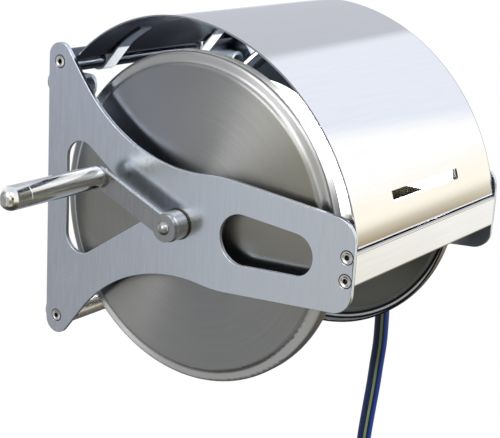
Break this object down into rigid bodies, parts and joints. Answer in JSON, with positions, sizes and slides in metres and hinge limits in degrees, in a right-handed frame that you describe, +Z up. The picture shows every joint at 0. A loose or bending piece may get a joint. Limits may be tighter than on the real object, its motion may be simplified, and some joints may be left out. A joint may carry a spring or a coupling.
{
  "type": "fire hose reel",
  "caption": "Wall-mounted stainless steel hose reel with an empty crank-wound drum, an inlet hose and a hinged curved hood.",
  "frame": {"origin": "centre of the four wall bolt holes, in the wall plane", "axes": "+Y into the wall, -Y into the room, +Z up, +X along the drum axis to the water inlet; the crank is at -X"},
  "size_m": [0.511, 0.4129, 0.6944],
  "materials": {
    "plate_steel": "satin, fine glass-bead matt with bright cut edges",
    "disc_steel": "satin, polished in circles",
    "mirror_steel": "mirror-polished stainless sheet",
    "turned_steel": "polished stainless, faint warm tint",
    "satin_steel": "satin stainless",
    "bush_bronze": "oil-filled bronze",
    "fitting_brass": "nickel-washed brass",
    "hose_rubber": "smooth blue hose with a thin yellow-green stripe",
    "black_rubber": "matt"
  },
  "bodies": {
    "frame": {"side_plate_left": "plate_steel", "side_plate_right": "plate_steel", "upper_tube": "turned_steel", "lower_tube": "turned_steel", "tube_plugs": "satin_steel", "tube_screws": "satin_steel", "wall_boss_upper_left": "turned_steel", "wall_boss_upper_right": "turned_steel", "wall_boss_lower_left": "turned_steel", "wall_boss_lower_right": "turned_steel", "front_panel": "mirror_steel", "panel_screws": "satin_steel", "panel_nut_bars": "satin_steel", "hood_buffers": "black_rubber", "bearing_ring_left": "satin_steel", "bearing_ring_right": "satin_steel", "bearing_bush_left": "bush_bronze", "bearing_bush_right": "bush_bronze", "inlet_housing": "turned_steel", "housing_screws": "satin_steel", "inlet_seals": "black_rubber", "inlet_nut": "fitting_brass", "inlet_ferrule": "satin_steel", "feed_hose": "hose_rubber", "end_ferrule": "satin_steel", "end_nut": "fitting_brass"},
    "drum": {"disc_left": "disc_steel", "disc_right": "disc_steel", "drum_core": "satin_steel", "crank_shaft": "satin_steel", "inlet_shaft": "satin_steel", "hub_collar_left": "satin_steel", "hub_collar_right": "satin_steel", "outlet_pipe": "satin_steel", "outlet_tail": "fitting_brass", "crank_boss": "turned_steel", "crank_arm": "turned_steel", "crank_screw": "satin_steel", "handle_spindle": "satin_steel", "spindle_nut": "satin_steel", "handle_washer": "satin_steel"},
    "handle": {"handle_grip": "turned_steel", "handle_cap": "turned_steel"},
    "hood": {"hood_shell": "mirror_steel", "hinge_strap_left": "mirror_steel", "hinge_strap_right": "mirror_steel"}
  },
  "joints": [
    {"name": "drum_spin", "type": "hinge", "parent": "frame", "child": "drum", "pos_m": [0, -0.19702, 0.013], "axis": [1, 0, 0], "continuous": true},
    {"name": "handle_spin", "type": "hinge", "parent": "drum", "child": "handle", "pos_m": [-0.237, -0.1043, 0.05046], "axis": [1, 0, 0], "continuous": true},
    {"name": "hood_hinge", "type": "hinge", "parent": "frame", "child": "hood", "pos_m": [0, -0.023, 0.16104], "axis": [-1, 0, 0], "range_deg": [0, 70]}
  ]
}
